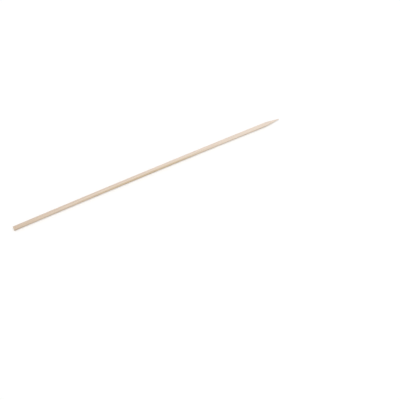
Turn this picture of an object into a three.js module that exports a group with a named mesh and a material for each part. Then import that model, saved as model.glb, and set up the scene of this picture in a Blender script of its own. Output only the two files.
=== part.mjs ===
// A bamboo skewer, in millimetres, with +Z up.
//
// It is one piece of split bamboo, rounded along its length, sawn square at its blunt end and ground to a
// point at the other. It lies on the ground along X, point towards +X, in the way it comes to rest: its slight
// bow is flat on the ground, and the broader way of its section is across.
// The origin is on the ground, under the middle of its length and of its width.

import * as THREE from 'three';

// Whole length, from the sawn face to the tip
const SKEWER_LENGTH = 200;

// Section of the shank: rounding leaves it a little broader one way than the other
const SHANK_WIDTH = 3.06;
const SHANK_HEIGHT = 2.94;

// How far the middle of the skewer stands out of line with its two ends
const BOW = 0.5;

// Ground point: how far it reaches back, how softly it leaves the shank, and how blunt its tip is
const POINT_LENGTH = 10.5;
const SHOULDER_LENGTH = 3.2;
const TIP_RADIUS = 0.2;

// The rim of the sawn face, worn round
const RIM_RADIUS = 0.16;

// Fineness of the faces: around the skewer, along its shank, and along each rounded stretch
const SIDES = 48;
const SHANK_STEPS = 24;
const ROUND_STEPS = 3;
const SHOULDER_STEPS = 8;

const MEAN_RADIUS = (SHANK_WIDTH + SHANK_HEIGHT) / 4;

// Straight line from the edge of the point to the rounded tip, as an angle off the skewer's own line
function groundAngle() {
  const reach = POINT_LENGTH - TIP_RADIUS;
  const slant = Math.hypot(MEAN_RADIUS, reach);
  return Math.acos(TIP_RADIUS / slant) - Math.atan2(reach, MEAN_RADIUS);
}

// Half of the lengthwise section: x is the distance from the skewer's line, y the distance from the sawn face
function lengthwiseSection() {
  const section = new THREE.Path();
  section.moveTo(0, 0);
  section.lineTo(MEAN_RADIUS - RIM_RADIUS, 0);
  section.absarc(MEAN_RADIUS - RIM_RADIUS, RIM_RADIUS, RIM_RADIUS, -Math.PI / 2, 0, false);

  const pointStart = SKEWER_LENGTH - POINT_LENGTH;
  const shankEnd = pointStart - SHOULDER_LENGTH / 2;
  for (let step = 1; step <= SHANK_STEPS; step++) {
    section.lineTo(MEAN_RADIUS, THREE.MathUtils.lerp(RIM_RADIUS, shankEnd, step / SHANK_STEPS));
  }

  const angle = groundAngle();
  const shoulder = new THREE.QuadraticBezierCurve(
    new THREE.Vector2(MEAN_RADIUS, shankEnd),
    new THREE.Vector2(MEAN_RADIUS, pointStart),
    new THREE.Vector2(
      MEAN_RADIUS - (SHOULDER_LENGTH / 2) * Math.sin(angle),
      pointStart + (SHOULDER_LENGTH / 2) * Math.cos(angle),
    ),
  );
  shoulder.getPoints(SHOULDER_STEPS).forEach((place) => section.lineTo(place.x, place.y));

  section.absarc(0, SKEWER_LENGTH - TIP_RADIUS, TIP_RADIUS, angle, Math.PI / 2, false);
  return section.getPoints(ROUND_STEPS);
}

// Gives the turned form its broader and narrower way, and bends it along its bow, which stands out to -x here
function settle(geometry) {
  const places = geometry.attributes.position;
  // the flat faces between the corners, not the corners, lie at the shank's width and height
  const cornerReach = MEAN_RADIUS * Math.cos(Math.PI / SIDES);
  for (let i = 0; i < places.count; i++) {
    const fromMiddle = (2 * places.getY(i)) / SKEWER_LENGTH - 1;
    const bent = BOW * (1 - fromMiddle ** 2);
    places.setX(i, (places.getX(i) * SHANK_WIDTH) / 2 / cornerReach - bent);
    places.setZ(i, (places.getZ(i) * SHANK_HEIGHT) / 2 / cornerReach);
  }
  geometry.computeVertexNormals();
  return geometry;
}

function makeSkewer() {
  const turned = new THREE.LatheGeometry(lengthwiseSection(), SIDES, Math.PI / SIDES);
  const bamboo = new THREE.MeshStandardMaterial({ color: 0xe4d2b8, roughness: 0.6, metalness: 0 });
  const skewer = new THREE.Mesh(settle(turned), bamboo);
  skewer.name = 'skewer';
  skewer.rotation.z = -Math.PI / 2;
  skewer.position.set(-SKEWER_LENGTH / 2, -BOW / 2, SHANK_HEIGHT / 2);
  return skewer;
}

const part = new THREE.Group();
part.add(makeSkewer());

export default part;
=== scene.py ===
"""Models, finishes and shows one round bamboo skewer around its fixed frame, in metres, with +Z up.

The skewer lies along X with its ground point towards +X. It is modelled straight, given the relief of its
fibres and a few lifted slivers, and then bent to its slight bow, which stands out to +Y.
"""

import math
import random

import bmesh
import bpy
from mathutils import Matrix, Vector


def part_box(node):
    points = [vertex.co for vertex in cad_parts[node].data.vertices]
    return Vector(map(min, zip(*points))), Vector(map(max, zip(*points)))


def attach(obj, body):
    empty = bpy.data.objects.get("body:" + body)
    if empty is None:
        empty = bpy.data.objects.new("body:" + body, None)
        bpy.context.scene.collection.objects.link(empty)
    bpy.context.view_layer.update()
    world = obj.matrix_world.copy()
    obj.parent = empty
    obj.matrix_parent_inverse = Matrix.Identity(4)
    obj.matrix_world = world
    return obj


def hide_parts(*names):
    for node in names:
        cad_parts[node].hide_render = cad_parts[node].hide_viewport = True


bl_info = {
    "name": "Bamboo Skewer",
    "version": (1, 0, 0),
    "blender": (4, 5, 0),
    "location": "3D View > Sidebar > Skewer",
    "description": "Models a round bamboo skewer with its ground point, bamboo finish and plain stage",
    "category": "Add Mesh",
}

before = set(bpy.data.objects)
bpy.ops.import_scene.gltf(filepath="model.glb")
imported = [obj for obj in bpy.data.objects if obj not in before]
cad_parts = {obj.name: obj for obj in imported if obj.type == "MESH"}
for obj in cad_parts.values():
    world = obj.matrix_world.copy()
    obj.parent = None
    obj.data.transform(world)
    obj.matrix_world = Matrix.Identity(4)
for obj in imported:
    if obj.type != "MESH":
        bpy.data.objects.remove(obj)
NODE = "skewer"
BODY = "root"
PIECE = "bamboo_skewer"
LOW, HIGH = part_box(NODE)

MM = 0.001
BOW = 0.5 * MM

# Places closer than this count as one. As much is left between each end and the skewer's box, so that
# rounded numbers don't reach past it.
TOLERANCE = 0.001 * MM

# The side of the skewer that was nearest the skin of the cane, as a turn from +Y towards +Z. The fibre
# bundles crowd together there, and the wood is darker, partly by its own tone and partly by painted shade.
SKIN_TURN = math.radians(160)

# The parts of the skewer, numbered as their finishes are, the name of the flat map, and the low and high
# corner of each part in it.
SHANK, POINT, SAWN_FACE = range(3)
MAP_NAME = "OFBake"
MAP_PLACES = (((0, 0), (1, 0.74)), ((0.27, 0.75), (1, 1)), ((0, 0.75), (0.26, 1)))


# Settings


def length(name, description, default):
    return bpy.props.FloatProperty(
        name=name, description=description, default=default, min=0, unit="LENGTH", precision=6
    )


def share(name, description, default):
    return bpy.props.FloatProperty(
        name=name, description=description, default=default, min=0, max=1, subtype="FACTOR"
    )


def colour(name, description, default):
    return bpy.props.FloatVectorProperty(
        name=name, description=description, default=(*default, 1), size=4, min=0, max=1, subtype="COLOR"
    )


class SkewerSizes(bpy.types.PropertyGroup):
    whole: length("Length", "From the sawn face to the tip", HIGH.x - LOW.x)
    bow: length("Bow", "How far the middle stands out of line with the ends", BOW)
    width: length("Width", "Section of the shank across", HIGH.y - LOW.y - BOW)
    height: length("Height", "Section of the shank upwards", HIGH.z - LOW.z)
    point: length("Point", "How far the ground point reaches back", 10.5 * MM)
    shoulder: length("Shoulder", "Length of the soft start of the point", 3.2 * MM)
    tip: length("Tip radius", "How blunt the tip is", 0.2 * MM)
    rim: length("Rim radius", "How far the rim of the sawn face is worn round", 0.16 * MM)
    fibre_width: length("Fibre width", "Width of one fine fibre", 0.14 * MM)
    fibre_run: length("Fibre run", "Length of one fine fibre", 22 * MM)
    fibre_relief: length("Fibre relief", "Depth of the grooves between fibres", 0.022 * MM)
    bundle_spacing: length("Bundle spacing", "From one fibre bundle to the next", 0.5 * MM)
    pore_depth: length("Pore depth", "Depth of the pores in the sawn face", 0.05 * MM)
    unevenness: length("Unevenness", "How far the rounding left the shank uneven", 0.03 * MM)
    chip_depth: length("Chip depth", "Depth of the chips along the sawn rim", 0.07 * MM)
    sliver_length: length("Sliver length", "Longest sliver that the rounding lifted", 1.8 * MM)
    sliver_lift: length("Sliver lift", "How far a sliver's tip stands off the shank", 0.2 * MM)

    @property
    def radius(self):
        """Half the height. The skewer is round until it is drawn out to its width."""
        return self.height / 2

    @property
    def axis_height(self):
        return LOW.z + self.radius

    @property
    def tip_end(self):
        return LOW.x + self.whole

    @property
    def point_start(self):
        return self.tip_end - self.point

    @property
    def shank_end(self):
        """Where the shoulder starts, half its length before the point"""
        return self.point_start - self.shoulder / 2


class SkewerFinish(bpy.types.PropertyGroup):
    pale: colour("Pale", "Wood at the point", (0.835, 0.72, 0.62))
    warm: colour("Warm", "Wood at the sawn end", (0.635, 0.495, 0.385))
    # Honey on the skin side stands partly for painted shade along the near, lower side
    honey: colour("Honey", "Darker wood near the skin of the cane", (0.645, 0.515, 0.345))
    bundle: colour("Bundle", "Fibre bundles that the surface cuts", (0.55, 0.40, 0.24))
    vessel: colour("Vessel", "Open vessels and nicks", (0.20, 0.12, 0.065))
    sawn: colour("Sawn", "Soft wood of the sawn face", (0.71, 0.55, 0.385))
    polish: share("Polish", "Roughness of the tumbled shank", 0.5)
    ground: share("Ground", "Roughness of the ground point", 0.68)
    rough: share("Rough", "Roughness of the sawn face", 0.85)
    floor: colour("Floor", "Plain floor", (0.90, 0.90, 0.90))


# Selecting and shaping


def deselect_all():
    for thing in list(bpy.context.selected_objects):
        thing.select_set(False)


def make_active(piece):
    deselect_all()
    piece.select_set(True)
    bpy.context.view_layer.objects.active = piece


def start_editing(piece, mode):
    make_active(piece)
    bpy.ops.object.mode_set(mode="EDIT")
    bpy.ops.mesh.select_all(action="DESELECT")
    bpy.ops.mesh.select_mode(type=mode)


def stop_editing():
    bpy.ops.object.mode_set(mode="OBJECT")


def select(piece, wanted, kind="faces"):
    """In edit mode, selects only the faces or edges for which wanted gives true"""
    mesh = bmesh.from_edit_mesh(piece.data)
    for elements in (mesh.verts, mesh.edges, mesh.faces):
        for element in elements:
            element.select_set(False)
    chosen = [element for element in getattr(mesh, kind) if wanted(element)]
    if not chosen:
        raise RuntimeError(f"no {kind} of {piece.name} were found to select")
    for element in chosen:
        element.select_set(True)
    bmesh.update_edit_mesh(piece.data)


def apply_modifier(piece, modifier):
    make_active(piece)
    bpy.ops.object.modifier_apply(modifier=modifier.name)


def place_in_mesh(piece):
    """Moves the object's place, turn and scale into its mesh"""
    make_active(piece)
    bpy.ops.object.transform_apply(location=True, rotation=True, scale=True)


# Node trees

NOISE_ROUGHNESS = 0.55


class Tree:
    """Adds nodes to one tree. An input that is given a socket is linked, and any other is set."""

    def __init__(self, tree):
        self.tree = tree

    def feed(self, node, inputs):
        for key, value in inputs.items():
            if isinstance(value, bpy.types.NodeSocket):
                self.tree.links.new(value, node.inputs[key])
            else:
                node.inputs[key].default_value = value

    def node(self, kind, inputs, **settings):
        node = self.tree.nodes.new(kind)
        for name, value in settings.items():
            setattr(node, name, value)
        self.feed(node, inputs)
        return node.outputs

    def placed(self, group, inputs):
        kind = "ShaderNodeGroup" if group.bl_idname == "ShaderNodeTree" else "GeometryNodeGroup"
        return self.node(kind, inputs, node_tree=group)

    def math(self, operation, a, b=0.0, c=0.0):
        return self.node("ShaderNodeMath", {0: a, 1: b, 2: c}, operation=operation)[0]

    def vector(self, operation, a, b=(0, 0, 0), output="Vector"):
        return self.node("ShaderNodeVectorMath", {0: a, 1: b}, operation=operation)[output]

    def dot(self, a, b):
        return self.vector("DOT_PRODUCT", a, b, output="Value")

    def distance(self, a, b):
        return self.vector("DISTANCE", a, b, output="Value")

    def split(self, vector):
        return self.node("ShaderNodeSeparateXYZ", {0: vector})

    def join(self, x, y, z):
        return self.node("ShaderNodeCombineXYZ", {0: x, 1: y, 2: z})[0]

    def ramp(self, value, start, end, low=0.0, high=1.0):
        """Goes smoothly from low at start to high at end"""
        inputs = {"Value": value, "From Min": start, "From Max": end, "To Min": low, "To Max": high}
        return self.node("ShaderNodeMapRange", inputs, interpolation_type="SMOOTHSTEP")["Result"]

    def noise(self, place, lump, detail=1.0, output="Fac"):
        """Noise whose lumps have one run along the skewer and one width across it"""
        run, width = lump
        inputs = {
            "Vector": self.vector("DIVIDE", place, (run, width, width)),
            "Scale": 1.0,
            "Detail": detail,
            "Roughness": NOISE_ROUGHNESS,
        }
        return self.node("ShaderNodeTexNoise", inputs)[output]

    def mix(self, share_of_b, a, b, blend="MIX"):
        inputs = {0: share_of_b, 6: a, 7: b}
        return self.node("ShaderNodeMix", inputs, data_type="RGBA", blend_type=blend)[2]

    def bump(self, height, distance):
        return self.node("ShaderNodeBump", {"Height": height, "Distance": distance, "Strength": 1.0})[0]


def new_group(name, tree_kind, inputs, outputs):
    """A group whose inputs are (name, kind of socket, default) and whose outputs are (name, kind)"""
    group = bpy.data.node_groups.new(name, tree_kind)
    for socket_name, kind, default in inputs:
        socket = group.interface.new_socket(socket_name, in_out="INPUT", socket_type="NodeSocket" + kind)
        if default is not None:
            socket.default_value = default
    for socket_name, kind in outputs:
        group.interface.new_socket(socket_name, in_out="OUTPUT", socket_type="NodeSocket" + kind)
    start = group.nodes.new("NodeGroupInput")
    end = group.nodes.new("NodeGroupOutput")
    return Tree(group), start.outputs, end


# Fibres

# A lump is its run along the skewer and its width across. Levels are where a pattern sets in and where it
# is full.
FINE_LUMP = (1, 1)
FINE_LEVELS = (0.28, 0.72)

# The strands wander sideways by up to half of this on their way along the skewer
WANDER = 0.9 * MM
WANDER_LUMP = (45 * MM, 5 * MM)

# How much closer the bundles stand at the skin of the cane, and how far they are scattered, as shares
CROWDING = 0.2
SCATTER = 0.75

# Distances from the middle of a bundle, as shares of the bundles' spacing
BUNDLE_LEVELS = (0.4, 0.16)
PORE_LEVELS = (0.2, 0.06)
VESSEL_OFFSET = 0.11
VESSEL_LEVELS = (0.09, 0.05)

FIBRE_MASKS = ("Fine", "Bundle", "Pore", "Vessel", "Tone")


def fibre_group(tree_kind, sizes):
    """Fine fibres along the skewer, and the bundles with their pores and vessels, as one solid pattern. The
    same group cuts the relief and colours it, so that the two agree."""
    t, given, end = new_group(
        "bamboo_fibres_" + tree_kind,
        tree_kind,
        [
            ("Grain", "Vector", None),
            ("Fibre Width", "Float", sizes.fibre_width),
            ("Fibre Run", "Float", sizes.fibre_run),
            ("Bundle Spacing", "Float", sizes.bundle_spacing),
        ],
        [(mask, "Float") for mask in FIBRE_MASKS],
    )
    wander = t.vector("SUBTRACT", t.noise(given["Grain"], WANDER_LUMP, output="Color"), (0.5, 0.5, 0.5))
    strand = t.vector("ADD", given["Grain"], t.vector("MULTIPLY", wander, (0, WANDER, WANDER)))

    width = given["Fibre Width"]
    fine_place = t.vector("DIVIDE", strand, t.join(given["Fibre Run"], width, width))
    fine = t.ramp(t.noise(fine_place, FINE_LUMP, detail=2), *FINE_LEVELS)

    # bundles are cells across the section, which crowd together towards the skin of the cane
    from_axis = t.vector("SUBTRACT", strand, (0, 0, sizes.axis_height))
    to_skin = t.dot(from_axis, (0, math.cos(SKIN_TURN), math.sin(SKIN_TURN)))
    aside = t.dot(from_axis, (0, -math.sin(SKIN_TURN), math.cos(SKIN_TURN)))
    crowded = t.math("MULTIPLY", to_skin, t.math("MULTIPLY_ADD", to_skin, CROWDING / sizes.radius, 1.0))
    spacing = given["Bundle Spacing"]
    section = t.join(t.math("DIVIDE", crowded, spacing), t.math("DIVIDE", aside, spacing), 0.0)
    cell_inputs = {"Vector": section, "Scale": 1.0, "Randomness": SCATTER}
    cell = t.node("ShaderNodeTexVoronoi", cell_inputs, voronoi_dimensions="2D")
    from_middle = t.split(t.vector("SUBTRACT", section, cell["Position"]))
    one_side = t.join(t.math("ABSOLUTE", from_middle["X"]), from_middle["Y"], 0.0)
    from_vessel = t.distance(one_side, (VESSEL_OFFSET, 0, 0))

    masks = {
        "Fine": fine,
        "Bundle": t.ramp(cell["Distance"], *BUNDLE_LEVELS),
        "Pore": t.ramp(cell["Distance"], *PORE_LEVELS),
        "Vessel": t.ramp(from_vessel, *VESSEL_LEVELS),
        "Tone": t.split(cell["Color"])["X"],
    }
    t.feed(end, masks)
    return t.tree


# Straight skewer

# Fineness of the skewer's mesh: its sides, the square grid across its sawn face and how often that is cut
# again, and its rings lengthwise. The shank's stretches are cut SHANK_CUTS times each, and so are the
# ones that result.
SIDES = 240
SAWN_GRID = SIDES // 4
SAWN_CUTS = 1
SHANK_CUTS = 13
RIM_SEGMENTS = 4
SHOULDER_RINGS = 8
TAPER_RINGS = 22
TIP_RINGS = 6

# A face is at an end where at least this share of its normal lies along the skewer. An edge counts as
# long from this share of the longest.
END_NORMAL = 0.9
LONG_EDGE = 0.9


def grounded_outline(sizes):
    """The point as rings after the shank: pairs of place along the skewer and radius, up to the tip"""
    radius, start, end = sizes.radius, sizes.point_start, sizes.tip_end
    reach = sizes.point - sizes.tip
    slant = math.hypot(radius, reach)
    angle = math.acos(sizes.tip / slant) - math.atan2(reach, radius)
    half = sizes.shoulder / 2
    shoulder_end = (start + half * math.cos(angle), radius - half * math.sin(angle))
    taper_end = (end - sizes.tip + sizes.tip * math.sin(angle), sizes.tip * math.cos(angle))
    for ring in range(1, SHOULDER_RINGS + 1):
        passed = ring / SHOULDER_RINGS
        before, after = (1 - passed) ** 2, passed**2
        along = before * (start - half) + 2 * passed * (1 - passed) * start + after * shoulder_end[0]
        yield along, radius * (1 - after) + after * shoulder_end[1]
    for ring in range(1, TAPER_RINGS + 1):
        passed = ring / TAPER_RINGS
        yield tuple(a + (b - a) * passed for a, b in zip(shoulder_end, taper_end))
    for ring in range(1, TIP_RINGS):
        turn = angle + (math.pi / 2 - angle) * ring / TIP_RINGS
        yield end - sizes.tip + sizes.tip * math.sin(turn), sizes.tip * math.cos(turn)


def add_rod(sizes):
    """The shank as a round rod, up to where the shoulder starts"""
    deselect_all()
    bpy.ops.mesh.primitive_cylinder_add(
        vertices=SIDES,
        radius=sizes.radius,
        depth=sizes.shank_end - LOW.x,
        end_fill_type="NGON",
        location=((sizes.shank_end + LOW.x) / 2, 0, sizes.axis_height),
        rotation=(0, math.pi / 2, 0),
    )
    piece = bpy.context.object
    piece.name = piece.data.name = PIECE
    place_in_mesh(piece)
    return piece


def grind_point(piece, sizes):
    """Draws the shank's far end out ring by ring, and closes it at the tip"""
    select(piece, lambda face: face.normal.x > END_NORMAL)
    place, ring_radius = sizes.shank_end, sizes.radius
    for next_place, next_radius in grounded_outline(sizes):
        bpy.ops.mesh.extrude_region_move(TRANSFORM_OT_translate={"value": (next_place - place, 0, 0)})
        scale = next_radius / ring_radius
        centre = (next_place, 0, sizes.axis_height)
        bpy.ops.transform.resize(value=(1, scale, scale), center_override=centre)
        place, ring_radius = next_place, next_radius
    bpy.ops.mesh.extrude_region_move(TRANSFORM_OT_translate={"value": (sizes.tip_end - place, 0, 0)})
    bpy.ops.mesh.merge(type="CENTER")


def wear_rim(piece, sizes):
    """Rounds the rim of the sawn face, and fills the face with a grid"""
    select(piece, lambda face: face.normal.x < -END_NORMAL)
    bpy.ops.mesh.bevel(offset=sizes.rim, segments=RIM_SEGMENTS, affect="EDGES", profile=0.5)
    select(piece, lambda face: face.normal.x < -END_NORMAL and len(face.verts) == SIDES)
    bpy.ops.mesh.delete(type="ONLY_FACE")
    bpy.ops.mesh.select_mode(type="EDGE")
    select(piece, lambda edge: edge.is_boundary, "edges")
    bpy.ops.mesh.fill_grid(span=SAWN_GRID)


def cut_finely(piece):
    """Cuts the shank across into short stretches, twice, and the grid of the sawn face"""
    for _ in range(2):
        longest = max(edge.calc_length() for edge in bmesh.from_edit_mesh(piece.data).edges)
        select(piece, lambda edge, least=longest * LONG_EDGE: edge.calc_length() > least, "edges")
        bpy.ops.mesh.subdivide(number_cuts=SHANK_CUTS)
    select(piece, lambda face: face.calc_center_median().x < LOW.x + TOLERANCE)
    bpy.ops.mesh.subdivide(number_cuts=SAWN_CUTS)


def model_straight(sizes):
    """The skewer before its relief and bow: a rod with a sawn end and a ground point"""
    piece = add_rod(sizes)
    start_editing(piece, "FACE")
    grind_point(piece, sizes)
    wear_rim(piece, sizes)
    cut_finely(piece)
    broader, centre = sizes.width / sizes.height, (0, 0, sizes.axis_height)
    bpy.ops.mesh.select_all(action="SELECT")
    bpy.ops.transform.resize(value=(1, broader, 1), center_override=centre)
    bpy.ops.mesh.normals_make_consistent(inside=False)
    stop_editing()
    return piece


# Relief

# Depths of the grooves on the side, as shares of the fibre relief: between fine fibres, outside the
# bundles, and where the side cuts a pore
BETWEEN_FIBRES = 0.6
OUTSIDE_BUNDLES = 0.4
CUT_PORE = 0.8

# The wheel left this share of the grooves on the point, over this share of its length back from the tip
LEFT_BY_WHEEL = 0.35
WHEEL_REACH = 0.8

WAVE_LUMP = (16 * MM, 2.4 * MM)
WAVE_LEVELS = (0.3, 0.7)

# The sawn face: how far its soft wood is torn, in fibre reliefs, and the share of a normal along the
# skewer from which a place belongs to it
TORN_RELIEFS = 2
TORN_LUMP = (0.1 * MM, 0.1 * MM)
SAWN_NORMALS = (-0.75, -0.98)

# Chips are deepest this close to the sawn end, and end this far from it
CHIPS_FULL = 0.05 * MM
CHIPS_END = 0.5 * MM
CHIP_LUMP = (0.4 * MM, 0.4 * MM)
CHIP_LEVELS = (0.52, 0.7)


def side_relief(t, place, fibres, sizes):
    """Depth on the side: fibres stand proud and pores are fine grooves. The wheel took most of both off the
    point."""
    soft = t.math("SUBTRACT", 1.0, fibres["Bundle"])
    hollow = t.math("SUBTRACT", 1.0, fibres["Fine"])
    groove = t.math("MULTIPLY", hollow, sizes.fibre_relief * BETWEEN_FIBRES)
    groove = t.math("MULTIPLY_ADD", soft, sizes.fibre_relief * OUTSIDE_BUNDLES, groove)
    groove = t.math("MULTIPLY_ADD", fibres["Pore"], sizes.fibre_relief * CUT_PORE, groove)
    wheel_full = sizes.tip_end - sizes.point * WHEEL_REACH
    left = t.ramp(t.split(place)["X"], sizes.point_start, wheel_full, 1.0, LEFT_BY_WHEEL)
    waves = t.ramp(t.noise(place, WAVE_LUMP), *WAVE_LEVELS)
    return t.math("MULTIPLY_ADD", waves, sizes.unevenness, t.math("MULTIPLY", groove, left))


def sawn_relief(t, place, fibres, sizes):
    """Depth on the sawn face: its bundles stand proud of the torn soft wood, with a pore in each"""
    soft = t.math("SUBTRACT", 1.0, fibres["Bundle"])
    torn = t.math("MULTIPLY", t.noise(place, TORN_LUMP), sizes.fibre_relief * TORN_RELIEFS)
    depth = t.math("MULTIPLY_ADD", soft, sizes.fibre_relief, torn)
    return t.math("MULTIPLY_ADD", fibres["Pore"], sizes.pore_depth, depth)


def relief_tree(sizes):
    """Geometry nodes that keep each place's grain as an attribute and cut the wood's relief inwards"""
    tree = bpy.data.node_groups.new("bamboo_relief", "GeometryNodeTree")
    tree.interface.new_socket("Geometry", in_out="INPUT", socket_type="NodeSocketGeometry")
    tree.interface.new_socket("Geometry", in_out="OUTPUT", socket_type="NodeSocketGeometry")
    start, end = tree.nodes.new("NodeGroupInput"), tree.nodes.new("NodeGroupOutput")
    t = Tree(tree)
    place = t.node("GeometryNodeInputPosition", {})[0]
    normal = t.node("GeometryNodeInputNormal", {})[0]
    named = {"Geometry": start.outputs[0], "Name": "grain", "Value": place}
    kept = t.node("GeometryNodeStoreNamedAttribute", named, data_type="FLOAT_VECTOR", domain="POINT")[0]
    fibres = t.placed(fibre_group("GeometryNodeTree", sizes), {"Grain": place})
    sawn_share = t.ramp(t.split(normal)["X"], *SAWN_NORMALS)
    side_share = t.math("SUBTRACT", 1.0, sawn_share)

    chips = t.ramp(t.noise(place, CHIP_LUMP, detail=2), *CHIP_LEVELS)
    near_end = t.ramp(t.split(place)["X"], LOW.x + CHIPS_END, LOW.x + CHIPS_FULL)
    chips = t.math("MULTIPLY", t.math("MULTIPLY", chips, near_end), side_share)

    depth = t.math("MULTIPLY", side_relief(t, place, fibres, sizes), side_share)
    depth = t.math("MULTIPLY_ADD", sawn_relief(t, place, fibres, sizes), sawn_share, depth)
    depth = t.math("MULTIPLY_ADD", chips, sizes.chip_depth, depth)
    inwards = {0: normal, "Scale": t.math("MULTIPLY", depth, -1.0)}
    offset = t.node("ShaderNodeVectorMath", inwards, operation="SCALE")[0]
    moved = t.node("GeometryNodeSetPosition", {"Geometry": kept, "Offset": offset})[0]
    tree.links.new(moved, end.inputs[0])
    return tree


def cut_relief(piece, sizes):
    modifier = piece.modifiers.new("bamboo_relief", "NODES")
    modifier.node_group = relief_tree(sizes)
    apply_modifier(piece, modifier)


# Slivers

# Slivers stand near the diagonals of the section, where the skewer's box has room for them, and clear of
# its ends
SLIVERS = 14
SLIVER_SEED = 5
DIAGONALS = (45, 135, 225, 315)
MOST_OFF_DIAGONAL = 12
FROM_ENDS = 3 * MM
SHORTEST_SLIVER = 0.4
SLIVER_ROOTS_MM = (0.05, 0.09)

# Each sliver is drawn out in two steps: its share of the length, its share of the lift, and the width it
# leaves
SLIVER_STEPS = ((0.45, 0.25, 0.75), (0.55, 0.75, 0.2))


def lift_slivers(piece, sizes):
    """Draws a few slivers out of the shank's faces, each lying along the grain with its tip lifted"""
    chance = random.Random(SLIVER_SEED)
    axis = Vector((0, 0, sizes.axis_height))
    start_editing(piece, "FACE")
    for _ in range(SLIVERS):
        degrees = chance.choice(DIAGONALS) + chance.uniform(-MOST_OFF_DIAGONAL, MOST_OFF_DIAGONAL)
        turn = math.radians(degrees)
        outwards = Vector((0, math.cos(turn), math.sin(turn)))
        along = Vector((chance.choice((-1, 1)), 0, 0))
        root = axis + outwards * sizes.radius
        root.x = chance.uniform(LOW.x + FROM_ENDS, sizes.point_start - FROM_ENDS)
        size = chance.uniform(SHORTEST_SLIVER, 1)
        centres = [face.calc_center_median() for face in bmesh.from_edit_mesh(piece.data).faces]
        middle = min(centres, key=lambda centre: (centre - root).length_squared)
        near = chance.uniform(*SLIVER_ROOTS_MM) * MM
        select(piece, lambda face: (face.calc_center_median() - middle).length < near)
        for forward, lift, narrowing in SLIVER_STEPS:
            forwards = along * sizes.sliver_length * size * forward
            step = forwards + outwards * sizes.sliver_lift * size * lift
            bpy.ops.mesh.extrude_region_move(TRANSFORM_OT_translate={"value": tuple(step)})
            middle = middle + step
            bpy.ops.transform.resize(value=(narrowing,) * 3, center_override=tuple(middle))
    stop_editing()


# Parts and their flat map

# The outer share of the worn rim, which has the shank's finish
SHANK_RIM = 0.4

# Room past each side of an unrolled part, in turns, for the faces that cross its seam
SEAM_ROOM = 0.01


def number_parts(piece, sizes):
    """Gives each face of the straight skewer the number of its part as its material's number"""
    sawn_radius = sizes.radius - sizes.rim * SHANK_RIM
    for polygon in piece.data.polygons:
        along, across, height = polygon.center
        from_axis = math.hypot(across * sizes.height / sizes.width, height - sizes.axis_height)
        if along < LOW.x + sizes.rim and from_axis < sawn_radius:
            polygon.material_index = SAWN_FACE
        else:
            polygon.material_index = POINT if along > sizes.shank_end else SHANK


def turns_round(corners):
    """How far round the skewer each corner of a face lies, from under it up and round to under it again. No
    jump falls inside the face, and a corner on the skewer's own line is placed midway."""
    middle = sum(corners, Vector()) / len(corners)
    middle_turn = math.atan2(middle.y, middle.z) / math.tau
    for corner in corners:
        turn = math.atan2(corner.y, corner.z) / math.tau
        on_line = math.hypot(corner.y, corner.z) < TOLERANCE
        turn = middle_turn if on_line else turn - round(turn - middle_turn)
        yield (turn + 0.5 + SEAM_ROOM) / (1 + 2 * SEAM_ROOM)


def lay_flat_map(piece, sizes):
    """Gives the straight skewer a map with its shank and its point unrolled and its sawn face flat"""
    mesh = piece.data
    layer = mesh.uv_layers.new(name=MAP_NAME)
    axis = Vector((0, 0, sizes.axis_height))
    reaches = {SHANK: (LOW.x, sizes.shank_end), POINT: (sizes.shank_end, sizes.tip_end)}
    for polygon in mesh.polygons:
        part = polygon.material_index
        corners = [mesh.vertices[vertex].co - axis for vertex in polygon.vertices]
        if part == SAWN_FACE:
            flat = [(corner.y / sizes.width + 0.5, corner.z / sizes.height + 0.5) for corner in corners]
        else:
            start, end = reaches[part]
            turns = turns_round(corners)
            flat = [((corner.x - start) / (end - start), turn) for corner, turn in zip(corners, turns)]
        low, high = MAP_PLACES[part]
        for loop, place in zip(polygon.loop_indices, flat):
            layer.uv[loop].vector = [a + passed * (b - a) for a, b, passed in zip(low, high, place)]


# Bow and whole skewer

SMOOTH_UNDER = math.radians(50)


def bend_to_bow(piece, sizes):
    """Bends the middle out to +Y. The sawn face leans with the bow, so the skewer is then drawn back to its
    length."""
    modifier = piece.modifiers.new("bow", "SIMPLE_DEFORM")
    modifier.deform_method = "BEND"
    modifier.deform_axis = "Z"
    # an arc of this turn over the whole length stands out by the bow
    modifier.angle = -8 * sizes.bow / sizes.whole
    apply_modifier(piece, modifier)
    piece.location.y = sizes.bow / 2
    place_in_mesh(piece)
    along = [vertex.co.x for vertex in piece.data.vertices]
    stretch = (sizes.whole - 2 * TOLERANCE) / (max(along) - min(along))
    start_editing(piece, "VERT")
    bpy.ops.mesh.select_all(action="SELECT")
    bpy.ops.transform.resize(value=(stretch, 1, 1), center_override=(0, 0, 0))
    bpy.ops.transform.translate(value=(LOW.x + TOLERANCE - min(along) * stretch, 0, 0))
    stop_editing()


class SKEWER_OT_model(bpy.types.Operator):
    """Models the skewer: rounded shank, sawn end, ground point, fibre relief, slivers and bow"""

    bl_idname = "skewer.model"
    bl_label = "Model Skewer"

    def execute(self, context):
        sizes = context.scene.skewer_sizes
        piece = model_straight(sizes)
        cut_relief(piece, sizes)
        lift_slivers(piece, sizes)
        number_parts(piece, sizes)
        lay_flat_map(piece, sizes)
        bend_to_bow(piece, sizes)
        bpy.ops.object.shade_smooth_by_angle(angle=SMOOTH_UNDER)
        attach(piece, BODY)
        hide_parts(NODE)
        return {"FINISHED"}


# Wood

# The wood pales along the skewer as this power of the way from the sawn end
PALING = 0.5

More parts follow.
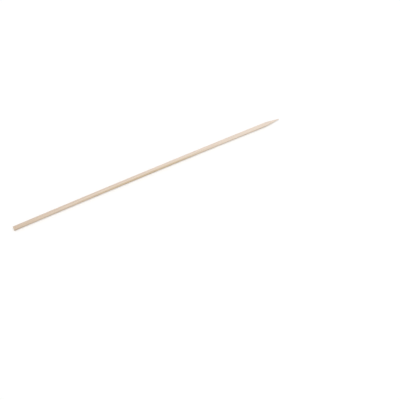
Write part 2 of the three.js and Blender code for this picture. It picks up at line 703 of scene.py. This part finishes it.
# The skin side, darker partly by the wood's own tone and partly by painted shade: how far round it reaches,
# in radii, its least and further share, and the part of the length, as shares from the sawn end, over which
# it comes and goes
SKIN_TONE_AND_SHADE_REACH = (0.7, 1.0)
SKIN_TONE_AND_SHADE_LEAST = 0.12
SKIN_TONE_AND_SHADE_MORE = 0.75
SKIN_TONE_AND_SHADE_COMES = (0.15, 0.42)
SKIN_TONE_AND_SHADE_GOES = (0.8, 0.55)

STREAK_LUMP = (60 * MM, 0.9 * MM)
STREAK_LEVELS = (0.5, 0.78)
STREAK_SHARE = 0.3

BLUSH_LUMP = (35 * MM, 3 * MM)
BLUSH_LEVELS = (0.35, 0.65)
ROSY = (1.0, 0.985, 0.975, 1)
YELLOWISH = (1.0, 1.0, 0.985, 1)

# How much of its own colour a bundle shows on the side, least and by its tone
BUNDLE_LEAST = 0.08
BUNDLE_MORE = 0.45

# Hairs, finer than a fibre, and the wood's brightness: the least, and what hairs and fine fibres add
HAIR_LUMP = (9 * MM, 0.05 * MM)
HAIR_LEVELS = (0.35, 0.7)
LEAST_BRIGHTNESS = 0.94
HAIR_BRIGHTNESS = 0.09
FIBRE_BRIGHTNESS = 0.05

NICK_LUMP = (2.4 * MM, 0.08 * MM)
NICK_LEVELS = (0.76, 0.84)
VESSEL_SHARE = 0.35

# Heights of the fine relief, beside a nick's depth of 1
FIBRE_HEIGHT = 0.6
HAIR_HEIGHT = 0.5


def wood_group(sizes, finish):
    """The wood's colour from sawn end to point, with the darker wood near the skin of the cane, partly its
    own tone and partly painted shade, broad streaks, the lines of the bundles, fine fibres and rare nicks.
    Height is the fibres' fine relief."""
    t, given, end = new_group(
        "bamboo_wood",
        "ShaderNodeTree",
        [
            ("Grain", "Vector", None),
            *((mask, "Float", 0.0) for mask in FIBRE_MASKS),
            ("Warm", "Color", finish.warm),
            ("Pale", "Color", finish.pale),
            ("Honey", "Color", finish.honey),
            ("Bundle Colour", "Color", finish.bundle),
            ("Vessel Colour", "Color", finish.vessel),
        ],
        [("Color", "Color"), ("Height", "Float"), ("Streak", "Float")],
    )
    grain = given["Grain"]
    along = t.split(grain)["X"]
    passed = t.math("DIVIDE", t.math("SUBTRACT", along, LOW.x), sizes.whole)
    paleness = t.math("POWER", t.math("MAXIMUM", passed, 0.0), PALING)
    wood = t.mix(paleness, given["Warm"], given["Pale"])

    # The skin side turns to honey, partly the wood's own tone and partly painted shade along the near,
    # lower side
    skin_way = (0, math.cos(SKIN_TURN) / sizes.radius, math.sin(SKIN_TURN) / sizes.radius)
    to_skin = t.dot(t.vector("SUBTRACT", grain, (0, 0, sizes.axis_height)), skin_way)
    stretch = t.math("MULTIPLY", t.ramp(passed, *SKIN_TONE_AND_SHADE_COMES), t.ramp(passed, *SKIN_TONE_AND_SHADE_GOES))
    strength = t.math("MULTIPLY_ADD", stretch, SKIN_TONE_AND_SHADE_MORE, SKIN_TONE_AND_SHADE_LEAST)
    skin = t.math("MULTIPLY", t.ramp(to_skin, *SKIN_TONE_AND_SHADE_REACH), strength)
    streak = t.ramp(t.noise(grain, STREAK_LUMP, detail=2), *STREAK_LEVELS)
    wood = t.mix(t.math("MULTIPLY_ADD", streak, STREAK_SHARE, skin), wood, given["Honey"])

    blush = t.ramp(t.noise(grain, BLUSH_LUMP), *BLUSH_LEVELS)
    wood = t.mix(1.0, wood, t.mix(blush, ROSY, YELLOWISH), "MULTIPLY")

    tone_share = t.math("MULTIPLY_ADD", given["Tone"], BUNDLE_MORE, BUNDLE_LEAST)
    wood = t.mix(t.math("MULTIPLY", given["Bundle"], tone_share), wood, given["Bundle Colour"])
    hair = t.noise(grain, HAIR_LUMP, detail=2)
    bright = t.math("MULTIPLY_ADD", t.ramp(hair, *HAIR_LEVELS), HAIR_BRIGHTNESS, LEAST_BRIGHTNESS)
    bright = t.math("MULTIPLY_ADD", given["Fine"], FIBRE_BRIGHTNESS, bright)
    wood = t.mix(1.0, wood, t.join(bright, bright, bright), "MULTIPLY")

    nick = t.ramp(t.noise(grain, NICK_LUMP), *NICK_LEVELS)
    open_vessel = t.math("MULTIPLY", given["Vessel"], VESSEL_SHARE)
    wood = t.mix(t.math("MAXIMUM", nick, open_vessel), wood, given["Vessel Colour"])

    height = t.math("MULTIPLY_ADD", given["Fine"], FIBRE_HEIGHT, t.math("MULTIPLY", hair, HAIR_HEIGHT))
    height = t.math("SUBTRACT", height, t.math("MAXIMUM", nick, given["Vessel"]))
    t.feed(end, {"Color": wood, "Height": height, "Streak": streak})
    return t.tree


# How far a scratch runs on before it fades into another. The patches of them are a third as large.
SCRATCH_RUN = 1.5 * MM
SCRATCH_NOISE = {"Scale": 1.0, "Detail": 3.0, "Roughness": 0.6}
SCRATCH_LEVELS = (0.45, 0.7)
PATCH_NOISE = {"Scale": 3.0, "Detail": 1.0}
PATCH_LEVELS = (0.3, 0.6)


def scratch_group():
    """Scratches that follow each other along Across, each about a unit of it wide, in patches by Place.
    Depth is 1 at their bottom."""
    t, given, end = new_group(
        "tool_scratches",
        "ShaderNodeTree",
        [("Across", "Float", 0.0), ("Place", "Vector", None)],
        [("Depth", "Float")],
    )
    line_place = t.vector("ADD", t.join(given["Across"], 0.0, 0.0), given["Place"])
    line = t.node("ShaderNodeTexNoise", {"Vector": line_place, **SCRATCH_NOISE})["Fac"]
    patch = t.node("ShaderNodeTexNoise", {"Vector": given["Place"], **PATCH_NOISE})["Fac"]
    depth = t.math("MULTIPLY", t.ramp(line, *SCRATCH_LEVELS), t.ramp(patch, *PATCH_LEVELS))
    t.feed(end, {"Depth": depth})
    return t.tree


# Finish


class Bamboo:
    """A bamboo material as far as the finishes have it in common: its grain, its fibres and its wood"""

    def __init__(self, name, groups):
        self.material = bpy.data.materials.new(name)
        self.material.use_nodes = True
        self.surface = self.material.node_tree.nodes["Principled BSDF"]
        self.t = Tree(self.material.node_tree)
        self.grain = self.t.node("ShaderNodeAttribute", {}, attribute_name="grain")["Vector"]
        self.along = self.t.split(self.grain)["X"]
        self.fibres = self.t.placed(groups["fibres"], {"Grain": self.grain})
        masks = {mask: self.fibres[mask] for mask in FIBRE_MASKS}
        self.wood = self.t.placed(groups["wood"], {"Grain": self.grain, **masks})
        self.scratches = groups["scratches"]

    def scratched(self, way, width):
        """Depth of scratches of one width, which follow each other along way and lie across it"""
        across = self.t.math("DIVIDE", way, width)
        place = self.t.vector("DIVIDE", self.grain, (SCRATCH_RUN, SCRATCH_RUN, SCRATCH_RUN))
        return self.t.placed(self.scratches, {"Across": across, "Place": place})["Depth"]


# The shank: how far and how much its rim is worn, how the fibres and streaks change its roughness, and
# its bump as a share of the fibre relief
RIM_WEAR_END = 0.7 * MM
RIM_WEAR = 0.5
FIBRE_GLOSS = 0.12
HOLLOW_DULLNESS = 0.08
STREAK_DULLNESS = 0.06
SHANK_BUMP = 0.5


def finish_shank(groups, sizes, finish):
    """Tumbled smooth: the fibres that stand proud are polished, and the sawn face's rim is a little worn"""
    bamboo = Bamboo("tumbled_shank", groups)
    t = bamboo.t
    rim_wear = t.ramp(bamboo.along, LOW.x + RIM_WEAR_END, LOW.x, 0.0, RIM_WEAR)
    colour_here = t.mix(rim_wear, bamboo.wood["Color"], finish.sawn)
    dullest = finish.polish + HOLLOW_DULLNESS
    roughness = t.math("MULTIPLY_ADD", bamboo.fibres["Fine"], -FIBRE_GLOSS, dullest)
    roughness = t.math("MULTIPLY_ADD", bamboo.wood["Streak"], STREAK_DULLNESS, roughness)
    bump = t.bump(bamboo.wood["Height"], sizes.fibre_relief * SHANK_BUMP)
    t.feed(bamboo.surface, {"Base Color": colour_here, "Roughness": roughness, "Normal": bump})
    return bamboo.material


# The point: its scratches, how pale the fresh wood is, how much dust lies in the scratches, how far back
# and how much its tip is darker, and its bump as a share of the fibre relief
WHEEL_SCRATCH = 0.05 * MM
FRESHNESS = 0.3
DUST = 0.08
DARKER_TIP_END = 1.2 * MM
DARKER_TIP_SHARE = 0.3
SCRATCH_DULLNESS = 0.12
WHEEL_SCRATCH_DEPTH = 0.5
POINT_BUMP = 0.4


def finish_point(groups, sizes, finish):
    """Ground on a wheel: a little paler and duller, with fine scratches round it"""
    bamboo = Bamboo("ground_point", groups)
    t = bamboo.t
    ground = t.ramp(bamboo.along, sizes.shank_end, sizes.point_start + sizes.shoulder / 2)
    scratch = t.math("MULTIPLY", bamboo.scratched(bamboo.along, WHEEL_SCRATCH), ground)
    fresh = t.mix(t.math("MULTIPLY", ground, FRESHNESS), bamboo.wood["Color"], finish.pale)
    dusty = t.mix(t.math("MULTIPLY", scratch, DUST), fresh, finish.bundle)
    # The last stretch to the tip turns darker, towards honey
    darker_tip = t.ramp(bamboo.along, sizes.tip_end - DARKER_TIP_END, sizes.tip_end, 0.0, DARKER_TIP_SHARE)
    colour_here = t.mix(darker_tip, dusty, finish.honey)
    roughness = t.math("MULTIPLY_ADD", ground, finish.ground - finish.polish, finish.polish)
    roughness = t.math("MULTIPLY_ADD", scratch, SCRATCH_DULLNESS, roughness)
    height = t.math("MULTIPLY_ADD", scratch, -WHEEL_SCRATCH_DEPTH, bamboo.wood["Height"])
    bump = t.bump(height, sizes.fibre_relief * POINT_BUMP)
    t.feed(bamboo.surface, {"Base Color": colour_here, "Roughness": roughness, "Normal": bump})
    return bamboo.material


# The sawn face: the way across its saw lines and their width, its speckle, and how strongly each thing
# shows in it
SAW_ACROSS = (0, 0.94, 0.34)
SAW_LINE = 0.045 * MM
SPECKLE_LUMP = (0.06 * MM, 0.06 * MM)
SPECKLE_LEVELS = (0.35, 0.7)
SPECKLE_SHARE = 0.35
SHEATH_LEAST = 0.65
SHEATH_MORE = 0.3
SHEATH_DARKNESS = 0.2
SAWN_PORE_SHARE = 0.25
SAWN_VESSEL_SHARE = 0.8
SAW_LINE_SHARE = 0.1
BUNDLE_GLOSS = 0.15
SAW_LINE_DEPTH = 0.7
SPECKLE_HEIGHT = 0.6


def finish_sawn_face(groups, sizes, finish):
    """Sawn across: the bundles show as dark spots with a pair of vessels each, under fine saw lines"""
    bamboo = Bamboo("sawn_face", groups)
    t = bamboo.t
    fibres = bamboo.fibres
    saw_line = bamboo.scratched(t.dot(bamboo.grain, SAW_ACROSS), SAW_LINE)
    speckle = t.noise(bamboo.grain, SPECKLE_LUMP, detail=2)
    soft = t.mix(t.ramp(speckle, *SPECKLE_LEVELS, 0.0, SPECKLE_SHARE), finish.sawn, finish.pale)
    tone_share = t.math("MULTIPLY_ADD", fibres["Tone"], SHEATH_MORE, SHEATH_LEAST)
    sheath = t.mix(SHEATH_DARKNESS, finish.bundle, finish.vessel)
    colour_here = t.mix(t.math("MULTIPLY", fibres["Bundle"], tone_share), soft, sheath)
    for share_of_it, mask, tint in (
        (SAWN_PORE_SHARE, fibres["Pore"], finish.honey),
        (SAWN_VESSEL_SHARE, fibres["Vessel"], finish.vessel),
        (SAW_LINE_SHARE, saw_line, finish.bundle),
    ):
        colour_here = t.mix(t.math("MULTIPLY", mask, share_of_it), colour_here, tint)
    roughness = t.math("MULTIPLY_ADD", fibres["Bundle"], -BUNDLE_GLOSS, finish.rough)
    speckled = t.math("MULTIPLY", speckle, SPECKLE_HEIGHT)
    height = t.math("MULTIPLY_ADD", saw_line, -SAW_LINE_DEPTH, speckled)
    bump = t.bump(t.math("SUBTRACT", height, fibres["Vessel"]), sizes.fibre_relief)
    t.feed(bamboo.surface, {"Base Color": colour_here, "Roughness": roughness, "Normal": bump})
    return bamboo.material


class SKEWER_OT_finish(bpy.types.Operator):
    """Gives the shank, the ground point and the sawn face of the skewer their bamboo finishes"""

    bl_idname = "skewer.finish"
    bl_label = "Finish Skewer"

    def execute(self, context):
        sizes, finish = context.scene.skewer_sizes, context.scene.skewer_finish
        groups = {
            "fibres": fibre_group("ShaderNodeTree", sizes),
            "wood": wood_group(sizes, finish),
            "scratches": scratch_group(),
        }
        materials = bpy.data.objects[PIECE].data.materials
        for part, make in enumerate((finish_shank, finish_point, finish_sawn_face)):
            if part == len(materials):
                materials.append(None)
            materials[part] = make(groups, sizes, finish)
        return {"FINISHED"}


# Stage

# Where the photograph was taken from, in its frame of 400 pixels: the pixel at the skewer's middle, the
# focal length in pixels, and the direction, roll and distance of the camera
FRAME_PIXELS = 400
MIDDLE_PIXEL = (149.6, 172.1)
FOCAL_PIXELS = 1053
VIEW_AZIMUTH = math.radians(-20.4)
VIEW_ELEVATION = math.radians(57.05)
VIEW_ROLL = math.radians(-5.6)
VIEW_DEPTH = 0.7252
SENSOR_MM = 36
NEAREST_SEEN = 0.01

# The room's light as a share of the light on the floor. The overhead lamp gives the rest, with this lean
# and spread. The camera sees the floor a little lifted, so that it is white wherever no shadow falls.
ROOM_LIGHT = 0.6
LAMP_LEAN = math.radians(12)
LAMP_SPREAD = math.radians(40)
FLOOR_LIFT = 0.12
FLOOR_SIZE = 6
FLOOR_ROUGHNESS = 0.9


def seen_white(t):
    """1 for the rays that show the backdrop, straight, in gloss or through glass, and 0 for all others"""
    rays = t.node("ShaderNodeLightPath", {})
    seen = t.math("MAXIMUM", rays["Is Camera Ray"], rays["Is Glossy Ray"])
    return t.math("MAXIMUM", seen, rays["Is Transmission Ray"])


def lay_floor(finish):
    """A pale floor that the camera sees as white wherever no shadow falls on it"""
    deselect_all()
    bpy.ops.mesh.primitive_plane_add(size=FLOOR_SIZE, location=(0, 0, 0))
    floor = bpy.context.object
    floor.name = "floor"
    material = bpy.data.materials.new("floor")
    material.use_nodes = True
    t = Tree(material.node_tree)
    surface = material.node_tree.nodes["Principled BSDF"]
    lift = t.math("MULTIPLY", seen_white(t), FLOOR_LIFT)
    t.feed(surface, {"Base Color": finish.floor, "Roughness": FLOOR_ROUGHNESS})
    t.feed(surface, {"Emission Color": (1, 1, 1, 1), "Emission Strength": lift})
    floor.data.materials.append(material)


def light_softly():
    world = bpy.data.worlds.new("studio")
    bpy.context.scene.world = world
    world.use_nodes = True
    t = Tree(world.node_tree)
    background = world.node_tree.nodes["Background"]
    t.feed(background, {"Color": (1, 1, 1, 1), "Strength": t.ramp(seen_white(t), 0, 1, ROOM_LIGHT, 1.0)})
    # a wide soft lamp far above, which leans to the camera's side and is as bright at all places
    bpy.ops.object.light_add(type="SUN", rotation=(LAMP_LEAN, 0, 0))
    lamp = bpy.context.object
    lamp.name = "overhead_softbox"
    lamp.data.angle = LAMP_SPREAD
    lamp.data.energy = math.pi * (1 - ROOM_LIGHT) / math.cos(LAMP_LEAN)


def set_camera():
    middle = Vector((0, 0, (LOW.z + HIGH.z) / 2))
    turn = (
        Matrix.Rotation(VIEW_AZIMUTH, 3, "Z")
        @ Matrix.Rotation(math.pi / 2 - VIEW_ELEVATION, 3, "X")
        @ Matrix.Rotation(VIEW_ROLL, 3, "Z")
    )
    right, up, back = turn.col
    across, down = ((pixel - FRAME_PIXELS / 2) / FOCAL_PIXELS * VIEW_DEPTH for pixel in MIDDLE_PIXEL)
    bpy.ops.object.camera_add()
    camera = bpy.context.object
    camera.name = "photo_camera"
    camera.location = middle + back * VIEW_DEPTH - right * across + up * down
    camera.rotation_euler = turn.to_euler()
    camera.data.sensor_width = SENSOR_MM
    camera.data.lens = FOCAL_PIXELS / FRAME_PIXELS * SENSOR_MM
    camera.data.clip_start = NEAREST_SEEN
    bpy.context.scene.camera = camera


class SKEWER_OT_stage(bpy.types.Operator):
    """Lays the floor and sets the light and the camera"""

    bl_idname = "skewer.stage"
    bl_label = "Set Stage"

    def execute(self, context):
        lay_floor(context.scene.skewer_finish)
        light_softly()
        set_camera()
        context.scene.view_settings.view_transform = "Standard"
        return {"FINISHED"}


class SKEWER_PT_sidebar(bpy.types.Panel):
    bl_label = "Bamboo Skewer"
    bl_idname = "SKEWER_PT_sidebar"
    bl_space_type = "VIEW_3D"
    bl_region_type = "UI"
    bl_category = "Skewer"

    def draw(self, context):
        for settings in (context.scene.skewer_sizes, context.scene.skewer_finish):
            column = self.layout.column()
            for name in settings.__annotations__:
                column.prop(settings, name)
        for step in STEPS:
            self.layout.operator(step.bl_idname)


STEPS = (SKEWER_OT_model, SKEWER_OT_finish, SKEWER_OT_stage)
CLASSES = (SkewerSizes, SkewerFinish, *STEPS, SKEWER_PT_sidebar)


def register():
    for item in CLASSES:
        bpy.utils.register_class(item)
    bpy.types.Scene.skewer_sizes = bpy.props.PointerProperty(type=SkewerSizes)
    bpy.types.Scene.skewer_finish = bpy.props.PointerProperty(type=SkewerFinish)


def unregister():
    del bpy.types.Scene.skewer_finish
    del bpy.types.Scene.skewer_sizes
    for item in reversed(CLASSES):
        bpy.utils.unregister_class(item)


def main():
    register()
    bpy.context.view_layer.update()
    bpy.ops.skewer.model()
    bpy.ops.skewer.finish()
    bpy.ops.skewer.stage()


if __name__ == "__main__":
    main()
